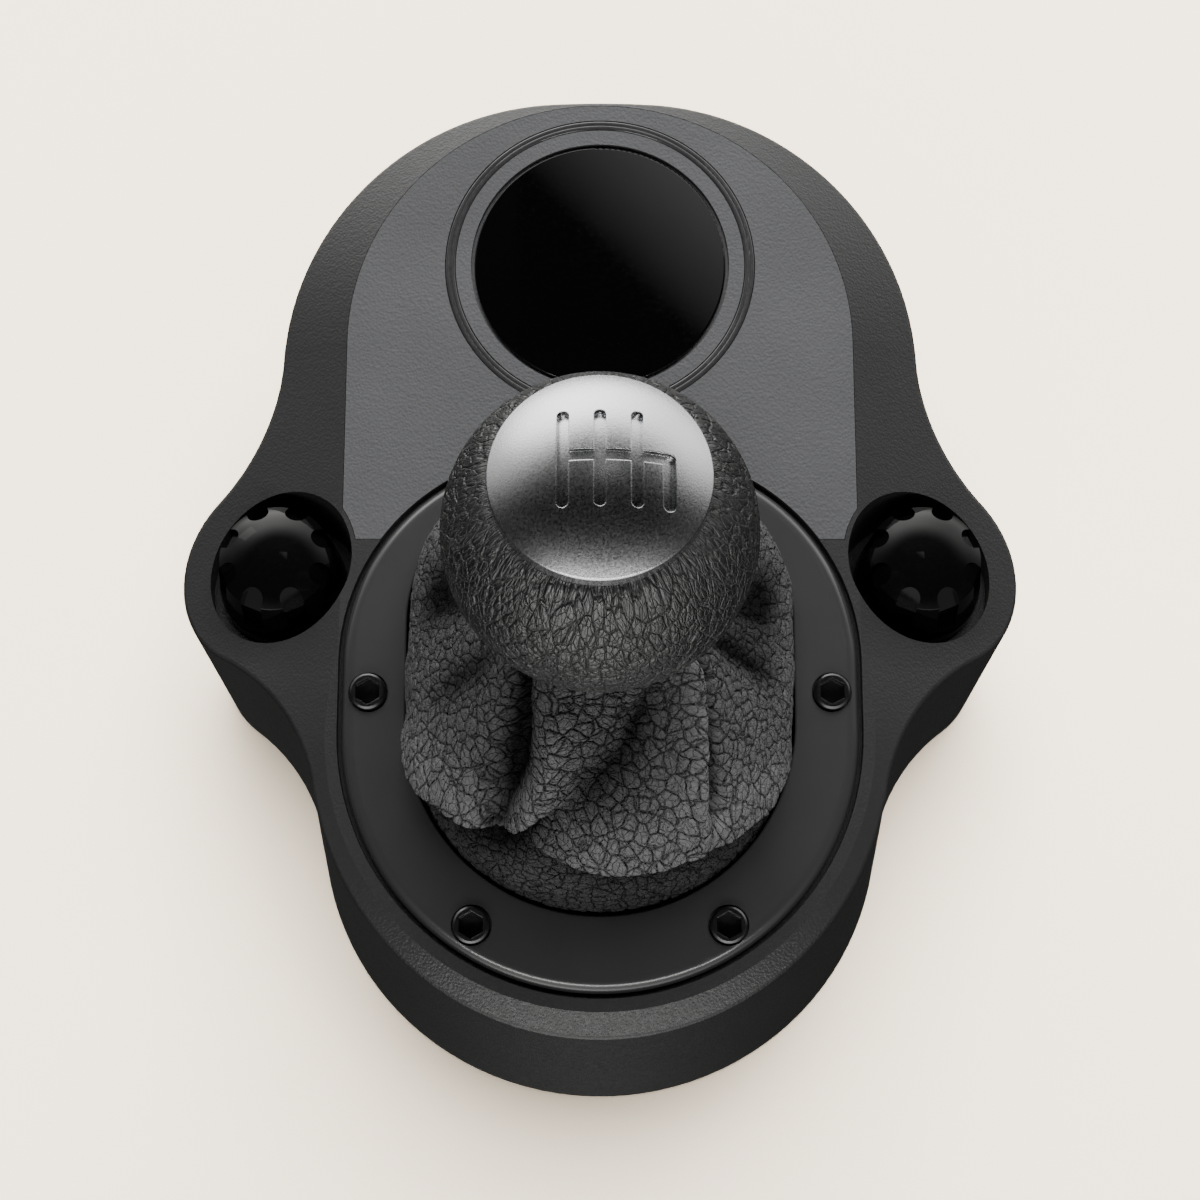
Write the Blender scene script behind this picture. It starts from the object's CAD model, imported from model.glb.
from math import atan2, cos, degrees, exp, hypot, pi, radians, sin, sqrt, tan

import bpy
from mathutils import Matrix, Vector, noise


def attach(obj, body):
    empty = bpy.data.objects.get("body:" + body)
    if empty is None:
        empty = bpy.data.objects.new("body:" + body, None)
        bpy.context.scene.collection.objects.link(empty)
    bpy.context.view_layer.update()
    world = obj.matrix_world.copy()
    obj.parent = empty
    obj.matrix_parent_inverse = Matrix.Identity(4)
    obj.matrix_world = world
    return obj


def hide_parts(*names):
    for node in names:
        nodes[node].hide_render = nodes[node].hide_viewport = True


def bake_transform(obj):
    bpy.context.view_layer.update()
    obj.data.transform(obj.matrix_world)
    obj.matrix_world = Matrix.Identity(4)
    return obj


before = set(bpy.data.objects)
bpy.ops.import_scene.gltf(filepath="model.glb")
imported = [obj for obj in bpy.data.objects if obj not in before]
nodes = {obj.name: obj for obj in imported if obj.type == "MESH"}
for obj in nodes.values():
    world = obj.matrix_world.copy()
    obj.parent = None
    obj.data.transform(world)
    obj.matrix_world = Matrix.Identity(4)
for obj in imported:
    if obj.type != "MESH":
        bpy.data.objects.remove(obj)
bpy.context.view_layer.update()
print("frame loaded:", len(nodes), "nodes")

# camera at the photo's angle, high in front of the shifter
camera = {"lens": 64.11, "sensor": 36, "place": (0.0, -0.1934, 0.5102), "tip": 22.7}
cameraData = bpy.data.cameras.new("camera")
cameraData.lens = camera["lens"]
cameraData.sensor_width = camera["sensor"]
cameraObject = bpy.data.objects.new("camera", cameraData)
cameraObject.location = camera["place"]
cameraObject.rotation_euler = (radians(camera["tip"]), 0, 0)
bpy.context.scene.collection.objects.link(cameraObject)
bpy.context.scene.camera = cameraObject
print("camera set")


# helpers for node trees
def newMaterial(name):
    material = bpy.data.materials.new(name)
    material.use_nodes = True
    tree = material.node_tree
    tree.nodes.clear()
    output = tree.nodes.new("ShaderNodeOutputMaterial")
    shader = tree.nodes.new("ShaderNodeBsdfPrincipled")
    tree.links.new(shader.outputs["BSDF"], output.inputs["Surface"])
    return material, tree, shader


def feedSocket(tree, socket, value):
    # a link from another socket, or a plain value
    if isinstance(value, bpy.types.NodeSocket):
        tree.links.new(value, socket)
    else:
        socket.default_value = value


def addNode(tree, kind, settings=None, **inputs):
    node = tree.nodes.new(kind)
    for key, value in (settings or {}).items():
        setattr(node, key, value)
    for key, value in inputs.items():
        feedSocket(tree, node.inputs[key], value)
    return node


def addMaths(tree, operation, first, second):
    node = tree.nodes.new("ShaderNodeMath")
    node.operation = operation
    feedSocket(tree, node.inputs[0], first)
    feedSocket(tree, node.inputs[1], second)
    return node.outputs[0]


def surfacePoint(tree):
    return addNode(tree, "ShaderNodeTexCoord").outputs["Object"]


def noiseAt(tree, scale, detail, rough, vector=None):
    point = vector or surfacePoint(tree)
    return addNode(tree, "ShaderNodeTexNoise", Vector=point, Scale=scale, Detail=detail, Roughness=rough)


def rampOf(tree, value, low, high, first, last):
    ramp = addNode(tree, "ShaderNodeMapRange", Value=value)
    for key, limit in (("From Min", low), ("From Max", high), ("To Min", first), ("To Max", last)):
        ramp.inputs[key].default_value = limit
    return ramp.outputs["Result"]


def mixColour(tree, share, first, second):
    mix = tree.nodes.new("ShaderNodeMix")
    mix.data_type = "RGBA"
    tree.links.new(share, mix.inputs[0])
    mix.inputs[6].default_value = (*first, 1)
    mix.inputs[7].default_value = (*second, 1)
    return mix.outputs[2]


def bumpFrom(tree, height, strength, distance, onto=None):
    bump = addNode(tree, "ShaderNodeBump", Height=height, Strength=strength, Distance=distance)
    if onto is not None:
        tree.links.new(onto, bump.inputs["Normal"])
    return bump.outputs["Normal"]


# what all finishes of a kind share: depths in metres, texture scales per metre, and shares of a finish's own values
plastic = {"wrinkle": 0.55, "tone": 22.0, "shade": 0.86, "smoother": 0.05, "rougher": 0.07,
           "grainDeep": 0.00025, "wrinkleDeep": 0.0002}
gloss = {"dust": 900.0, "dustRough": 0.05, "light": 1.25, "wave": 60.0, "waveBump": 0.05, "waveDeep": 0.0002,
         "coatRough": 0.03}
metal = {"smoother": 0.06, "rougher": 0.08, "shade": 0.82, "deep": 0.0001, "bevelSamples": 6}
hide = {"stray": 0.0022, "strayScale": 260.0, "narrow": 1.9, "hairEdge": 0.14, "pores": 2.6, "tone": 45.0,
        "narrowTone": 0.65, "hairTone": 0.75, "leastTone": 0.3, "creaseRough": 0.4,
        "narrowDeep": 0.45, "hairDeep": 0.18, "poreDeep": 0.3}


def plasticMaterial(name, look):
    # moulded plastic: fine wrinkled grain, slight tone changes and a little worn gloss
    material, tree, shader = newMaterial(name)
    grain = addNode(tree, "ShaderNodeTexVoronoi", {"feature": "SMOOTH_F1"}, Vector=surfacePoint(tree),
                    Scale=look["grain"], Smoothness=0.6)
    wrinkle = noiseAt(tree, look["grain"] * plastic["wrinkle"], 4.0, 0.6)
    tone = noiseAt(tree, plastic["tone"], 3.0, 0.55)
    share = rampOf(tree, tone.outputs["Fac"], 0.35, 0.65, 0.0, 1.0)
    darker = [c * plastic["shade"] for c in look["colour"]]
    tree.links.new(mixColour(tree, share, darker, look["colour"]), shader.inputs["Base Color"])
    rough = rampOf(tree, wrinkle.outputs["Fac"], 0.3, 0.7, look["rough"] - plastic["smoother"],
                   look["rough"] + plastic["rougher"])
    tree.links.new(rough, shader.inputs["Roughness"])
    if look["bump"]:
        grained = bumpFrom(tree, grain.outputs["Distance"], look["bump"], plastic["grainDeep"])
        wrinkled = bumpFrom(tree, wrinkle.outputs["Fac"], look["bump"], plastic["wrinkleDeep"], grained)
        tree.links.new(wrinkled, shader.inputs["Normal"])
    shader.inputs["Specular IOR Level"].default_value = look.get("specular", 0.5)
    return material


def glossMaterial(name, look):
    # polished black plastic: a faint waviness and very fine dust in the gloss
    material, tree, shader = newMaterial(name)
    dust = noiseAt(tree, gloss["dust"], 2.0, 0.6)
    tree.links.new(rampOf(tree, dust.outputs["Fac"], 0.45, 0.75, look["rough"], look["rough"] + gloss["dustRough"]),
                   shader.inputs["Roughness"])
    wave = noiseAt(tree, gloss["wave"], 1.0, 0.4)
    tree.links.new(bumpFrom(tree, wave.outputs["Fac"], gloss["waveBump"], gloss["waveDeep"]),
                   shader.inputs["Normal"])
    tone = rampOf(tree, dust.outputs["Fac"], 0.3, 0.7, 0.0, 1.0)
    lighter = [c * gloss["light"] for c in look["colour"]]
    tree.links.new(mixColour(tree, tone, look["colour"], lighter), shader.inputs["Base Color"])
    shader.inputs["Specular IOR Level"].default_value = look.get("specular", 0.5)
    shader.inputs["Coat Weight"].default_value = look.get("coat", 0.0)
    shader.inputs["Coat Roughness"].default_value = gloss["coatRough"]
    return material


def metalMaterial(name, look):
    # blasted or turned metal: speckle in the roughness, a fine bump, and softened edges where a bevel is given
    material, tree, shader = newMaterial(name)
    speck = noiseAt(tree, look["speck"], 3.0, 0.7)
    tree.links.new(rampOf(tree, speck.outputs["Fac"], 0.3, 0.7, look["rough"] - metal["smoother"],
                          look["rough"] + metal["rougher"]), shader.inputs["Roughness"])
    tone = rampOf(tree, speck.outputs["Fac"], 0.3, 0.7, 0.0, 1.0)
    darker = [c * metal["shade"] for c in look["colour"]]
    tree.links.new(mixColour(tree, tone, darker, look["colour"]), shader.inputs["Base Color"])
    soft = None
    if "bevel" in look:
        soft = addNode(tree, "ShaderNodeBevel", {"samples": metal["bevelSamples"]},
                       Radius=look["bevel"]).outputs["Normal"]
    tree.links.new(bumpFrom(tree, speck.outputs["Fac"], look["bump"], metal["deep"], soft),
                   shader.inputs["Normal"])
    shader.inputs["Metallic"].default_value = 1.0
    return material


def pebbleHeights(tree, point, cell, crease):
    # broad and narrow pebbles, from 0 in the creases to 1 on top; shader and geometry trees share it
    stray = addNode(tree, "ShaderNodeTexNoise", Vector=point, Scale=hide["strayScale"], Detail=2.0)
    strayed = tree.nodes.new("ShaderNodeVectorMath")
    strayed.operation = "MULTIPLY_ADD"
    tree.links.new(stray.outputs["Color"], strayed.inputs[0])
    strayed.inputs[1].default_value = (hide["stray"],) * 3
    tree.links.new(point, strayed.inputs[2])
    scale = addMaths(tree, "DIVIDE", 1.0, cell)
    heights = []
    for times in (1.0, hide["narrow"]):
        cells = addNode(tree, "ShaderNodeTexVoronoi", {"feature": "DISTANCE_TO_EDGE"}, Vector=strayed.outputs[0],
                        Scale=addMaths(tree, "MULTIPLY", scale, times))
        share = addMaths(tree, "DIVIDE", cells.outputs["Distance"], crease)
        share = addMaths(tree, "MINIMUM", share, 1.0)
        heights.append(addMaths(tree, "MULTIPLY", share, addMaths(tree, "SUBTRACT", 2.0, share)))
    return heights


def leatherMaterial(name, look):
    # leather: worn tops of the pebbles, dark creases, hair lines and pores, all in the hide's own grain
    material, tree, shader = newMaterial(name)
    point = addNode(tree, "ShaderNodeAttribute", {"attribute_name": "grain"}).outputs["Vector"]
    broad, narrow = pebbleHeights(tree, point, look["cell"], look["crease"])
    hair = addNode(tree, "ShaderNodeTexVoronoi", {"feature": "DISTANCE_TO_EDGE"}, Vector=point,
                   Scale=look["hair"])
    lines = rampOf(tree, hair.outputs["Distance"], 0.0, hide["hairEdge"], 0.0, 1.0)
    pores = noiseAt(tree, look["hair"] * hide["pores"], 4.0, 0.65, point)
    tone = noiseAt(tree, hide["tone"], 4.0, 0.6)
    tops = addMaths(tree, "MULTIPLY", broad, rampOf(tree, narrow, 0.0, 1.0, hide["narrowTone"], 1.0))
    tops = addMaths(tree, "MULTIPLY", tops, rampOf(tree, lines, 0.0, 1.0, hide["hairTone"], 1.0))
    tops = rampOf(tree, tops, 0.0, 1.0, hide["leastTone"], 1.0)
    worn = addNode(tree, "ShaderNodeAttribute", {"attribute_name": "worn"}).outputs["Fac"]
    tops = addMaths(tree, "MULTIPLY", tops, worn)
    tree.links.new(mixColour(tree, tops, look["dark"], look["colour"]), shader.inputs["Base Color"])
    rough = rampOf(tree, tone.outputs["Fac"], 0.35, 0.65, -0.05, 0.07)
    rough = addMaths(tree, "ADD", rough, rampOf(tree, tops, 0.0, 1.0, look["rough"] + hide["creaseRough"],
                                                look["rough"]))
    tree.links.new(rough, shader.inputs["Roughness"])
    normal = bumpFrom(tree, broad, look["bump"], look["deep"])
    for height, share in ((narrow, hide["narrowDeep"]), (lines, hide["hairDeep"]),
                          (pores.outputs["Fac"], hide["poreDeep"])):
        normal = bumpFrom(tree, height, look["bump"], look["deep"] * share, normal)
    tree.links.new(normal, shader.inputs["Normal"])
    shader.inputs["Specular IOR Level"].default_value = look["specular"]
    return material


plastics = {
    "housing": {"colour": (0.019, 0.019, 0.0195), "grain": 1700.0, "rough": 0.36, "bump": 0.25, "specular": 0.35},
    "panel": {"colour": (0.052, 0.053, 0.056), "grain": 1500.0, "rough": 0.52, "bump": 0.5, "specular": 0.4},
    "bezel": {"colour": (0.024, 0.024, 0.025), "grain": 5000.0, "rough": 0.2, "bump": 0.0, "specular": 0.6},
    "moulding": {"colour": (0.03, 0.03, 0.031), "grain": 2200.0, "rough": 0.55, "bump": 0.3},
    "rubber": {"colour": (0.02, 0.02, 0.02), "grain": 2600.0, "rough": 0.75, "bump": 0.4},
    "bearing": {"colour": (0.62, 0.6, 0.55), "grain": 2000.0, "rough": 0.45, "bump": 0.15},
    "board": {"colour": (0.01, 0.1, 0.045), "grain": 2500.0, "rough": 0.4, "bump": 0.1},
}
glosses = {
    "lens": {"colour": (0.0008, 0.0008, 0.0009), "rough": 0.03},
    "bead": {"colour": (0.02, 0.02, 0.021), "rough": 0.12, "coat": 0.3},
    "clampKnob": {"colour": (0.0015, 0.0015, 0.0016), "rough": 0.06, "specular": 0.14},
}
metals = {
    "cap": {"colour": (0.58, 0.585, 0.595), "speck": 2600.0, "rough": 0.27, "bump": 0.3, "bevel": 0.0003},
    "steel": {"colour": (0.42, 0.42, 0.43), "speck": 1800.0, "rough": 0.34, "bump": 0.1},
    "screwSteel": {"colour": (0.14, 0.14, 0.145), "speck": 2200.0, "rough": 0.36, "bump": 0.12, "bevel": 0.00015},
    "paintedFrame": {"colour": (0.16, 0.16, 0.165), "speck": 1500.0, "rough": 0.5, "bump": 0.2},
    "brass": {"colour": (0.66, 0.5, 0.24), "speck": 1600.0, "rough": 0.32, "bump": 0.1},
}
leathers = {
    "bootLeather": {"colour": (0.125, 0.125, 0.128), "dark": (0.002, 0.002, 0.002), "cell": 0.0029,
                    "crease": 0.11, "hair": 950.0, "rough": 0.3, "bump": 1.0, "deep": 0.0006, "specular": 0.06},
    "knobLeather": {"colour": (0.005, 0.005, 0.0052), "dark": (0.0015, 0.0015, 0.0015), "cell": 0.0018,
                    "crease": 0.1, "hair": 1400.0, "rough": 0.33, "bump": 0.9, "deep": 0.0003, "specular": 1.0},
}
materials = {}
for make, looks in ((plasticMaterial, plastics), (glossMaterial, glosses), (metalMaterial, metals),
                    (leatherMaterial, leathers)):
    materials.update({name: make(name, look) for name, look in looks.items()})
print("materials made:", len(materials))

finishOfNode = {
    "housing": ["top_housing"],
    "panel": ["top_panel", "emblem_ring"],
    "bezel": ["boot_bezel"],
    "lens": ["emblem_lens"],
    "bead": ["emblem_bead"],
    "screwSteel": ["bezel_screws", "housing_screws", "frame_screws", "gate_screws", "board_screws"],
    "cap": ["knob_cap"],
    "clampKnob": ["left_clamp_knob", "right_clamp_knob"],
    "moulding": ["bottom_cover", "boot_retainer", "left_clamp_jaw", "right_clamp_jaw", "knob_ferrule",
                 "knob_core", "fore_aft_sensor", "side_sensor", "reverse_switch", "board_parts"],
    "rubber": ["rubber_feet", "left_jaw_pad", "right_jaw_pad", "cable_grommet"],
    "bearing": ["rocker_bushings", "clamp_bushings", "detent_sector"],
    "board": ["circuit_board"],
    "brass": ["threaded_inserts"],
    "paintedFrame": ["mechanism_frame", "gate_plate", "gimbal_ring", "lever_hub"],
    "steel": ["lever_rod", "hub_pins", "knob_lock_nut", "spring_seat", "retaining_clip", "centering_arm",
              "left_clamp_screw", "right_clamp_screw", "left_clamp_clip", "right_clamp_clip",
              "left_jaw_nut", "right_jaw_nut", "detent_spring", "centering_spring", "return_spring"],
    "bootLeather": ["boot"],
    "knobLeather": ["knob_leather"],
}
for finish, members in finishOfNode.items():
    for member in members:
        mesh = nodes[member].data
        mesh.materials.clear()
        mesh.materials.append(materials[finish])
print("node finishes set")


def leatherPebbles(name):
    # geometry nodes that press pebbles into a leather sheet, along the sheet's stored grain
    group = bpy.data.node_groups.new(name, "GeometryNodeTree")
    face = group.interface
    face.new_socket("Geometry", in_out="INPUT", socket_type="NodeSocketGeometry")
    for key in ("Cell", "Depth", "Crease", "Fine"):
        face.new_socket(key, in_out="INPUT", socket_type="NodeSocketFloat")
    face.new_socket("Finish", in_out="INPUT", socket_type="NodeSocketMaterial")
    face.new_socket("Geometry", in_out="OUTPUT", socket_type="NodeSocketGeometry")
    entry = group.nodes.new("NodeGroupInput")
    leave = group.nodes.new("NodeGroupOutput")
    stored = group.nodes.new("GeometryNodeInputNamedAttribute")
    stored.data_type = "FLOAT_VECTOR"
    stored.inputs["Name"].default_value = "grain"
    broad, narrow = pebbleHeights(group, stored.outputs["Attribute"], entry.outputs["Cell"],
                                  entry.outputs["Crease"])
    sunk = [addMaths(group, "MULTIPLY", addMaths(group, "SUBTRACT", height, 1.0), entry.outputs[key])
            for height, key in ((broad, "Depth"), (narrow, "Fine"))]
    normal = group.nodes.new("GeometryNodeInputNormal").outputs[0]
    push = group.nodes.new("ShaderNodeVectorMath")
    push.operation = "SCALE"
    group.links.new(normal, push.inputs[0])
    group.links.new(addMaths(group, "ADD", *sunk), push.inputs["Scale"])
    move = group.nodes.new("GeometryNodeSetPosition")
    group.links.new(entry.outputs["Geometry"], move.inputs["Geometry"])
    group.links.new(push.outputs[0], move.inputs["Offset"])
    real = group.nodes.new("GeometryNodeRealizeInstances")
    group.links.new(move.outputs[0], real.inputs[0])
    paint = group.nodes.new("GeometryNodeSetMaterial")
    group.links.new(real.outputs[0], paint.inputs["Geometry"])
    group.links.new(entry.outputs["Finish"], paint.inputs["Material"])
    group.links.new(paint.outputs[0], leave.inputs[0])
    return group


def storeGrain(piece, points, worn):
    grain = piece.data.attributes.new("grain", "FLOAT_VECTOR", "POINT")
    grain.data.foreach_set("vector", [value for point in points for value in point])
    polish = piece.data.attributes.new("worn", "FLOAT", "POINT")
    polish.data.foreach_set("value", worn)


def dressWithPebbles(piece, group, sizes, finish):
    modifier = piece.modifiers.new("pebbles", "NODES")
    modifier.node_group = group
    values = {**sizes, "Finish": finish}
    for item in group.interface.items_tree:
        if item.item_type == "SOCKET" and item.in_out == "INPUT" and item.name in values:
            modifier[item.identifier] = values[item.name]
    depsgraph = bpy.context.evaluated_depsgraph_get()
    settled = bpy.data.meshes.new_from_object(piece.evaluated_get(depsgraph))
    piece.modifiers.clear()
    piece.data = settled


def meshObject(name, points, faces):
    mesh = bpy.data.meshes.new(name)
    mesh.from_pydata(points, [], faces)
    mesh.validate()
    mesh.shade_smooth()
    piece = bpy.data.objects.new(name, mesh)
    bpy.context.scene.collection.objects.link(piece)
    return piece


def shellFrom(rings):
    # quads between rings of points
    faces = []
    count = len(rings[0])
    for row in range(len(rings) - 1):
        low, high = row * count, (row + 1) * count
        for k in range(count):
            after = (k + 1) % count
            faces.append((low + k, low + after, high + after, high + k))
    return [p for ring in rings for p in ring], faces


# leather boot: a sleeve from the hem under the bezel to the ferrule
boot = {
    # around and rings set its fineness, and the lower part ends at seamRow; all three are even numbers
    "around": 420, "rings": 230, "seamRow": 70, "wall": 0.0011,
    "leverY": -0.036, "panelY": -0.0105, "panelZ": 0.0729, "tilt": radians(10.2), "hem": -0.0018,
    "topZ": 0.1311, "topRadius": 0.0109,
    # the bezel's opening, in the plane of the panel
    "openFront": 0.0426, "openFrontU": -0.027, "openCorner": 0.031, "openCornerU": -0.005,
    "openTop": 0.0273, "openLimit": 0.08, "slack": 0.0005,
}
bootProfile = {
    # share of the way from the ferrule (0) out to the opening (1) at each rise from the hem
    "rises": (0.0, 0.08, 0.2, 0.34, 0.52, 0.74, 0.9, 1.0),
    "shares": (1.0, 0.985, 0.98, 0.92, 0.72, 0.38, 0.12, 0.0),
    "hemSlope": 0.2, "topSlope": 0.4,
}
bootFolds = {
    # valleys and ridges that run up the sleeve: (rise, bearing) along each, half width in degrees, depth
    "leftValley": {"line": ((0.4, -124), (0.58, -125), (0.69, -130), (0.77, -139), (0.84, -151)),
                   "width": 7.0, "deep": 0.0058, "from": 0.38, "to": 0.93, "soft": 0.05},
    "leftRidge": {"line": ((0.42, -119), (0.55, -115), (0.66, -112), (0.8, -112)),
                  "width": 7.0, "deep": -0.0022, "from": 0.4, "to": 0.86, "soft": 0.12},
    "rightCrease": {"line": ((0.42, -54), (0.49, -51), (0.6, -43), (0.7, -30), (0.78, -12)),
                    "width": 3.2, "deep": 0.0042, "from": 0.42, "to": 0.9, "soft": 0.06},
    "rightRidge": {"line": ((0.42, -60), (0.5, -57), (0.6, -50), (0.7, -38), (0.8, -22)),
                   "width": 5.0, "deep": -0.0022, "from": 0.38, "to": 0.88, "soft": 0.1},
    "frontDip": {"line": ((0.5, -96), (0.61, -92), (0.78, -66), (0.85, -58)),
                 "width": 12.0, "deep": 0.003, "from": 0.48, "to": 0.9, "soft": 0.12},
    "leftBack": {"line": ((0.2, 155), (0.9, 150)), "width": 14.0, "deep": 0.004, "from": 0.2, "to": 0.9,
                 "soft": 0.25},
    "rightBack": {"line": ((0.2, 22), (0.9, 30)), "width": 15.0, "deep": 0.004, "from": 0.2, "to": 0.9,
                  "soft": 0.25},
    "rear": {"line": ((0.2, 96), (0.9, 92)), "width": 11.0, "deep": 0.0045, "from": 0.25, "to": 0.9,
             "soft": 0.25},
    "leftSide": {"line": ((0.3, -172), (0.9, -168)), "width": 8.0, "deep": 0.0025, "from": 0.35, "to": 0.85,
                 "soft": 0.2},
    "rightSide": {"line": ((0.3, -2), (0.9, 4)), "width": 8.0, "deep": 0.0028, "from": 0.3, "to": 0.85,
                  "soft": 0.2},
}
bootLips = {
    # edges where the upper leather hangs over the lower: (bearing, rise) along each, and (bearing, strength)
    "left": {"line": ((-176, 0.1), (-165, 0.2), (-152, 0.29), (-143, 0.35), (-133, 0.38), (-123, 0.4),
                      (-118, 0.45), (-110, 0.53), (-95, 0.6)),
             "strong": ((-178, 0), (-162, 0.8), (-150, 1), (-121, 1), (-112, 0.55), (-98, 0))},
    "right": {"line": ((-125, 0.36), (-108, 0.38), (-90, 0.39), (-70, 0.39), (-57, 0.39), (-41, 0.34),
                       (-28, 0.25), (-14, 0.14)),
              "strong": ((-126, 0), (-104, 0.3), (-86, 0.85), (-70, 1), (-38, 1), (-24, 0.6), (-8, 0))},
}
hang = {
    # how far the leather stands out above an edge, is tucked in below it and drops, and how soon each ends
    "out": 0.0042, "in": 0.0052, "drop": 0.0040, "edge": 0.02, "above": 0.13, "below": 0.17, "dropEnd": 0.06,
}
bootCrumples = (
    # unevenness of the leather: depth, and how often it changes round and up the sleeve
    {"deep": 0.0010, "round": 1.7, "up": 3.2, "octaves": 3},
    {"deep": 0.0004, "round": 6.5, "up": 9.0, "octaves": 2},
)
bootWear = {
    # polish of a flat place, relief for one full step of it, and the dull strip low in front
    "even": 0.62, "relief": 0.0055, "least": 0.03, "dull": 0.35, "dullHalf": 60, "dullRise": 0.3,
}


def measureOpening(angle):
    # distance from the lever's axis to the bezel's opening, found by halving
    leverU = (boot["leverY"] - boot["panelY"]) / cos(boot["tilt"])
    dx, du = cos(angle), sin(angle)
    half, corner = boot["openFront"], boot["openCorner"]
    cornerX = half - corner
    rise = boot["openTop"] - boot["openCornerU"] - corner
    crown = corner + (cornerX ** 2 + rise ** 2) / (2 * rise)

    def inside(reach):
        x, u = abs(dx) * reach, leverU + du * reach
        if u < boot["openFrontU"]:
            return hypot(x, u - boot["openFrontU"]) < half
        if x > half or u > boot["openTop"]:
            return False
        if u > boot["openCornerU"] and x > cornerX:
            lean = atan2(boot["openCornerU"] - (boot["openTop"] - crown), cornerX)
            if atan2(u - boot["openCornerU"], x - cornerX) < lean:
                return hypot(x - cornerX, u - boot["openCornerU"]) < corner
        return hypot(x, u - (boot["openTop"] - crown)) < crown or u < boot["openCornerU"]

    low, high = 0.0, boot["openLimit"]
    for halving in range(40):
        middle = (low + high) / 2
        if inside(middle):
            low = middle
        else:
            high = middle
    return low - boot["slack"]


around, rings = boot["around"], boot["rings"]
bearings = [2 * pi * k / around for k in range(around)]
openingTable = [measureOpening(bearing) for bearing in bearings]


def openingReach(angle):
    return openingTable[round(angle / (2 * pi) * around) % around]


def profileShare(rise):
    # cubic through the profile's points
    xs, ys = bootProfile["rises"], bootProfile["shares"]
    last = len(xs) - 1
    k = next(k for k in range(last) if rise <= xs[k + 1] or k == last - 1)
    slopes = []
    for j in (k, k + 1):
        before, after = max(j - 1, 0), min(j + 1, last)
        slope = (ys[after] - ys[before]) / (xs[after] - xs[before])
        if j == 0:
            slope *= bootProfile["hemSlope"]
        elif j == last:
            slope *= bootProfile["topSlope"]
        slopes.append(slope)
    width = xs[k + 1] - xs[k]
    t = (rise - xs[k]) / width
    return ((2 * t**3 - 3 * t**2 + 1) * ys[k] + (t**3 - 2 * t**2 + t) * width * slopes[0]
            + (3 * t**2 - 2 * t**3) * ys[k + 1] + (t**3 - t**2) * width * slopes[1])


def turnFrom(angle, middle):
    return (angle - middle + 180) % 360 - 180


def lineAt(points, value):
    # straight runs through (value, result) pairs in rising order, level past both ends
    if value <= points[0][0]:
        return points[0][1]
    for (low, first), (high, last) in zip(points, points[1:]):
        if value <= high:
            return first + (last - first) * (value - low) / (high - low)
    return points[-1][1]


def easeIn(share):
    share = max(0.0, min(1.0, share))
    return share * share * (3 - 2 * share)


def foldAt(bearing, rise):
    # depth of all folds at a place; each widens a little on its way up
    depth = 0
    for fold in bootFolds.values():
        if not fold["from"] < rise < fold["to"]:
            continue
        strength = easeIn((rise - fold["from"]) / fold["soft"]) * easeIn((fold["to"] - rise) / fold["soft"])
        width = fold["width"] * (0.75 + 0.5 * rise)
        away = abs(turnFrom(bearing, lineAt(fold["line"], rise))) / width
        depth += fold["deep"] * strength * exp(-(away ** 1.5))
    return depth


def lipAt(bearing, rise):
    # how far the leather stands out and hangs down near each edge
    turn = turnFrom(bearing, -90) - 90
    out, drop = 0, 0
    for lip in bootLips.values():
        strength = lineAt(lip["strong"], turn)
        if strength <= 0:
            continue
        beyond = rise - lineAt(lip["line"], turn)
        step = easeIn(beyond / hang["edge"] * 0.5 + 0.5)
        swell = hang["out"] * step * exp(-((max(beyond, 0) / hang["above"]) ** 1.6))
        tuck = hang["in"] * (1 - step) * exp(-((min(beyond, 0) / hang["below"]) ** 2))
        out += strength * (swell - tuck)
        drop += strength * hang["drop"] * step * exp(-((max(beyond, 0) / hang["dropEnd"]) ** 1.4))
    return out, drop


def wornAt(angle, rise):
    # 1 on the crests that hands polish, down to the least at the bottom of the folds
    bearing = degrees(angle)
    level = bootWear["even"] + (lipAt(bearing, rise)[0] - foldAt(bearing, rise)) / bootWear["relief"]
    front = exp(-((turnFrom(bearing, -90) / bootWear["dullHalf"]) ** 4))
    dull = bootWear["dull"] * front * (1 - easeIn(rise / bootWear["dullRise"]))
    return max(bootWear["least"], min(1.0, level - dull))


def bootPoint(angle, rise, plain=False):
    # a point of the sleeve, or of the plain sleeve without folds and lips, which carries the grain
    out = boot["topRadius"] + (openingReach(angle) - boot["topRadius"]) * profileShare(rise)
    tip = boot["tilt"] * (1 - rise) ** 2
    baseZ = boot["panelZ"] + (boot["leverY"] - boot["panelY"]) * tan(boot["tilt"]) + boot["hem"]
    height = baseZ + (boot["topZ"] - baseZ) * rise
    if not plain:
        bearing = degrees(angle)
        # the hem and the collar stay as they are
        fade = min(1.0, rise / 0.1) * min(1.0, (1 - rise) / 0.12)
        stand, drop = lipAt(bearing, rise)
        out += fade * (stand - foldAt(bearing, rise))
        height -= fade * drop
        uneven = 0
        for part in bootCrumples:
            place = Vector((cos(angle) * part["round"], sin(angle) * part["round"], rise * part["up"]))
            uneven += part["deep"] * noise.fractal(place, 1.0, 2.0, part["octaves"])
        out += fade * uneven
    x, y = out * cos(angle), out * sin(angle)
    return (x, boot["leverY"] + y * cos(tip), height + y * sin(tip))


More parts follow.
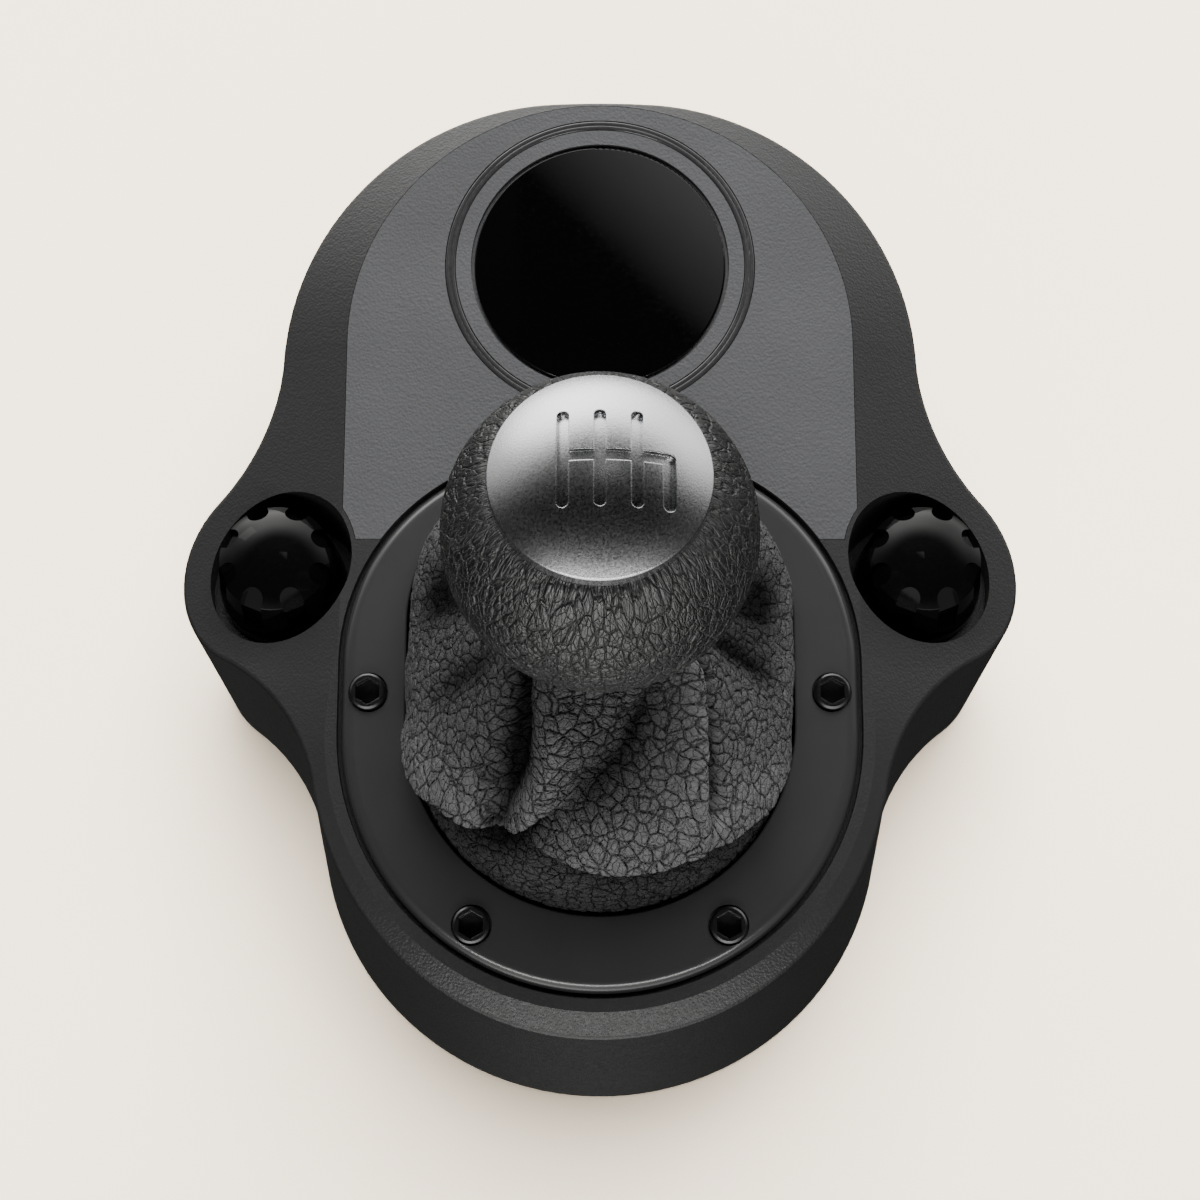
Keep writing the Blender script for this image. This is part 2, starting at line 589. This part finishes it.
pebbleSizes = {
    "boot": {"Cell": leathers["bootLeather"]["cell"], "Depth": 0.00042, "Crease": 0.16, "Fine": 0.00012},
    "knob": {"Cell": leathers["knobLeather"]["cell"], "Depth": 0.0002, "Crease": 0.12, "Fine": 0.00006},
}
pebbleTree = leatherPebbles("leatherPebbles")
skinRings = [[bootPoint(bearing, row / rings) for bearing in bearings] for row in range(rings + 1)]
skinGrain = [bootPoint(bearing, row / rings, True) for row in range(rings + 1) for bearing in bearings]
skinWorn = [wornAt(bearing, row / rings) for row in range(rings + 1) for bearing in bearings]
bootSkin = meshObject("bootSkin", *shellFrom(skinRings))
storeGrain(bootSkin, skinGrain, skinWorn)
plainNormals = [vertex.normal.copy() for vertex in bootSkin.data.vertices]
dressWithPebbles(bootSkin, pebbleTree, pebbleSizes["boot"], materials["bootLeather"])
skinPoints = [vertex.co.copy() for vertex in bootSkin.data.vertices]
skinNormals = [vertex.normal.copy() for vertex in bootSkin.data.vertices]
bpy.data.objects.remove(bootSkin)
print("boot skin dressed:", len(skinPoints), "points")


def sleevePart(name, first, last):
    # the dressed skin outside, a plain inner side at half its fineness, and a rim at each open edge
    start, end = first * around, (last + 1) * around
    points, faces = shellFrom([skinPoints[i:i + around] for i in range(start, end, around)])
    normals, grain, worn = skinNormals[start:end], skinGrain[start:end], skinWorn[start:end]
    base, half = len(points), around // 2
    innerRows = range(first, last + 1, 2)
    for row in innerRows:
        for k in range(half):
            i = row * around + 2 * k
            points.append(Vector(skinRings[row][2 * k]) - plainNormals[i] * boot["wall"])
            normals.append(-plainNormals[i])
            grain.append(skinGrain[i])
            worn.append(skinWorn[i])
    for row in range(len(innerRows) - 1):
        low, high = base + row * half, base + (row + 1) * half
        for k in range(half):
            after = (k + 1) % half
            faces.append((low + k, high + k, high + after, low + after))
    outerTop, innerTop = base - around, base + (len(innerRows) - 1) * half
    for k in range(half):
        after = (k + 1) % half
        wide = (2 * k + 2) % around
        faces.append((2 * k, base + k, base + after, wide, 2 * k + 1))
        faces.append((outerTop + 2 * k, outerTop + 2 * k + 1, outerTop + wide, innerTop + after, innerTop + k))
    piece = meshObject(name, points, faces)
    storeGrain(piece, grain, worn)
    piece.data.normals_split_custom_set_from_vertices(normals)
    piece.data.materials.append(materials["bootLeather"])
    return piece


bootCuts = {
    # flat leather of each part: the lower a band as long as the hem, the upper a fan that narrows to the lever
    "bootLower": {"rows": (0, boot["seamRow"]), "flat": (0.285, 0.024), "area": 0.0068,
                  "restsOn": ["boot_bezel"]},
    "bootUpper": {"rows": (boot["seamRow"], rings), "flat": (0.265, 0.056), "area": 0.0096,
                  "restsOn": ["knob_ferrule"]},
}
for name, cut in bootCuts.items():
    piece = sleevePart(name, *cut["rows"])
    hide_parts("boot")
    if name == "bootLower":
        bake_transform(piece)
    else:
        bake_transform(piece)
    print(name, "made:", len(piece.data.polygons), "faces")

# knob leather: a wrapped ball, open at the top for the cap and below for the lever
knob = {
    "centre": (0.0, -0.036, 0.1651), "radius": 0.0284, "inner": 0.0266, "capRim": 0.01921,
    "rodHole": 0.0052, "rodEdge": 0.0012, "flat": 0.1376, "around": 460, "rings": 170, "innerRings": 24,
    # the leather is rolled in a little at the cap
    "roll": 0.012, "rollWide": 0.045,
    "worn": 0.85,
}
knobGrainRun = {
    # radius of the tube that carries the grain, and how the grain is stretched from the cap down
    "radius": 0.022, "bend": 0.275, "ease": 0.18,
}


def knobRings():
    # outer side down from the cap, flat foot, rod hole, and inner side back up
    cx, cy, cz = knob["centre"]
    outer, inner = knob["radius"], knob["inner"]
    topOut, topIn = (atan2(knob["capRim"], sqrt(reach ** 2 - knob["capRim"] ** 2)) for reach in (outer, inner))
    lowOut = pi - atan2(knob["rodHole"] + knob["rodEdge"], cz - knob["flat"])
    lowIn = pi - atan2(knob["rodHole"], inner)
    profile = []
    for k in range(knob["rings"] + 1):
        polar = topOut + (lowOut - topOut) * k / knob["rings"]
        roll = 1 - knob["roll"] * exp(-(((polar - topOut) / knob["rollWide"]) ** 2))
        profile.append((outer * roll * sin(polar), max(cz + outer * roll * cos(polar), knob["flat"])))
    profile.append((knob["rodHole"], knob["flat"]))
    profile.append((knob["rodHole"], cz - sqrt(inner ** 2 - knob["rodHole"] ** 2)))
    for k in range(knob["innerRings"], -1, -1):
        polar = topIn + (lowIn - topIn) * k / knob["innerRings"]
        profile.append((inner * sin(polar), cz + inner * cos(polar)))
    turns = [2 * pi * k / knob["around"] for k in range(knob["around"])]
    return [[(cx + radius * cos(turn), cy + radius * sin(turn), height) for turn in turns]
            for radius, height in profile]


def knobGrain(point):
    # the wrap is drawn up to the cap, so its grain is long there and closes up towards the lever
    x, y, z = (point[k] - knob["centre"][k] for k in range(3))
    polar, bearing = atan2(hypot(x, y), z), atan2(y, x)
    down = knob["radius"] * (knobGrainRun["bend"] * polar ** 2 - knobGrainRun["ease"] * polar)
    return (knobGrainRun["radius"] * cos(bearing), knobGrainRun["radius"] * sin(bearing), -down)


points, faces = shellFrom(knobRings())
count = knob["around"]
lastRing = len(points) - count
faces += [(lastRing + k, lastRing + (k + 1) % count, (k + 1) % count, k) for k in range(count)]
faces = [tuple(reversed(f)) for f in faces]
knobWrap = meshObject("knobWrap", points, faces)
storeGrain(knobWrap, [knobGrain(point) for point in points], [knob["worn"]] * len(points))
dressWithPebbles(knobWrap, pebbleTree, pebbleSizes["knob"], materials["knobLeather"])
knobWrap.data.shade_smooth()
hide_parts("knob_leather")
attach(knobWrap, "lever")
print("knobWrap made:", len(knobWrap.data.polygons), "faces")

# floor
studio = {
    "floor": (1.75, 1.5, 1.18), "floorRough": 0.9, "floorHalf": 3, "sky": (1.0, 0.99, 0.97),
    # how bright the sky is: round about, below the horizon, overhead, and its share to the left and right
    "sides": 0.12, "back": 5.5, "front": 1.3, "underFront": 3.4, "under": 0.06, "zenith": 0.03,
    "left": 0.25, "right": 0.45,
}
half = studio["floorHalf"]
floorMesh = bpy.data.meshes.new("floor")
floorMesh.from_pydata([(-half, -half, 0), (half, -half, 0), (half, half, 0), (-half, half, 0)], [],
                      [(0, 1, 2, 3)])
floor = bpy.data.objects.new("floor", floorMesh)
bpy.context.scene.collection.objects.link(floor)
floorMaterial, _, floorShader = newMaterial("floor")
floorShader.inputs["Base Color"].default_value = (*studio["floor"], 1)
floorShader.inputs["Roughness"].default_value = studio["floorRough"]
floorMesh.materials.append(floorMaterial)
# the bright floor is left out of the reflections, and the dim lower sky stands in for it there
floor.visible_glossy = False
floor.visible_diffuse = False
print("floor laid")

# sky: bright low down behind and in front, dim at the sides and dark overhead
world = bpy.data.worlds.new("studio")
world.use_nodes = True
skyTree = world.node_tree
skyPoint = addNode(skyTree, "ShaderNodeTexCoord").outputs["Generated"]
skyWay = addNode(skyTree, "ShaderNodeSeparateXYZ", Vector=skyPoint)
skySteps = {
    # direction, where it starts and ends on that axis, and the level before and after
    "behind": ("Y", 0.05, 0.75, 0.0, studio["back"] - studio["sides"]),
    "before": ("Y", -0.9, -0.3, studio["front"] - studio["sides"], 0.0),
    "lower": ("Y", -0.95, -0.55, studio["underFront"], studio["under"]),
    "above": ("Z", -0.3, 0.05, 0.0, 1.0),
    "below": ("Z", -0.3, 0.05, 1.0, 0.0),
    "fading": ("Z", 0.38, 0.78, 1.0, studio["zenith"]),
    "right": ("X", -0.15, 0.6, 1.0, studio["right"]),
    "left": ("X", -0.8, -0.3, studio["left"], 1.0),
}
steps = {}
for name, (part, *limits) in skySteps.items():
    step = addNode(skyTree, "ShaderNodeMapRange", {"interpolation_type": "SMOOTHSTEP"}, Value=skyWay.outputs[part])
    for key, value in zip(("From Min", "From Max", "To Min", "To Max"), limits):
        step.inputs[key].default_value = value
    steps[name] = step.outputs["Result"]
level = addMaths(skyTree, "ADD", addMaths(skyTree, "ADD", steps["behind"], steps["before"]), studio["sides"])
for name in ("above", "fading"):
    level = addMaths(skyTree, "MULTIPLY", level, steps[name])
level = addMaths(skyTree, "ADD", level, addMaths(skyTree, "MULTIPLY", steps["lower"], steps["below"]))
for name in ("right", "left"):
    level = addMaths(skyTree, "MULTIPLY", level, steps[name])
skyTree.nodes["Background"].inputs["Color"].default_value = (*studio["sky"], 1)
skyTree.links.new(level, skyTree.nodes["Background"].inputs["Strength"])
bpy.context.scene.world = world
print("sky made")

# a dim card overhead that only the round lens mirrors, darker at one corner
card = {"middle": (0.045, 0.345, 1.286), "half": 0.11, "darkAt": -0.07, "lightAt": 0.13, "bright": 1.9}
cardX, cardY, cardZ = card["middle"]
cardMesh = bpy.data.meshes.new("lensCard")
cardMesh.from_pydata([(cardX + dx * card["half"], cardY + dy * card["half"], cardZ)
                      for dx, dy in ((-1, -1), (1, -1), (1, 1), (-1, 1))], [], [(0, 3, 2, 1)])
lensCard = bpy.data.objects.new("lensCard", cardMesh)
bpy.context.scene.collection.objects.link(lensCard)
cardMaterial, cardTree, cardShader = newMaterial("lensCard")
cardWay = addNode(cardTree, "ShaderNodeSeparateXYZ", Vector=surfacePoint(cardTree))
cardSum = addMaths(cardTree, "ADD", cardWay.outputs["X"], cardWay.outputs["Y"])
cardShader.inputs["Base Color"].default_value = (0, 0, 0, 1)
cardShader.inputs["Emission Color"].default_value = (1, 1, 1, 1)
cardTree.links.new(rampOf(cardTree, cardSum, cardX + cardY + card["darkAt"], cardX + cardY + card["lightAt"],
                          0.0, card["bright"]), cardShader.inputs["Emission Strength"])
cardMesh.materials.append(cardMaterial)
lensCard.visible_camera = False
lensCard.visible_diffuse = False
lensCard.visible_shadow = False
print("lens card hung")

lampAim = (0, 0, 0.05)
lamps = {
    # the wide one lights the object without showing in its gloss
    "wideSoftbox": {"place": (0.1, 0.42, 1.15), "size": 1.0, "watts": 36.0, "glossy": False},
    "shoulderStrip": {"place": (-0.75, 0.85, 0.5), "size": 0.3, "watts": 0.4, "glossy": True},
    "frontStrip": {"place": (0, -1.0, 0.55), "size": 1.3, "tall": 0.12, "watts": 7.0, "glossy": True},
}
for name, lamp in lamps.items():
    lampData = bpy.data.lights.new(name, "AREA")
    lampData.energy = lamp["watts"]
    lampData.size = lamp["size"]
    if "tall" in lamp:
        lampData.shape = "RECTANGLE"
        lampData.size_y = lamp["tall"]
    lampData.color = studio["sky"]
    lampObject = bpy.data.objects.new(name, lampData)
    lampObject.location = lamp["place"]
    lampObject.visible_glossy = lamp["glossy"]
    away = Vector(lamp["place"]) - Vector(lampAim)
    lampObject.rotation_euler = away.to_track_quat("Z", "Y").to_euler()
    bpy.context.scene.collection.objects.link(lampObject)
print("studio lit")
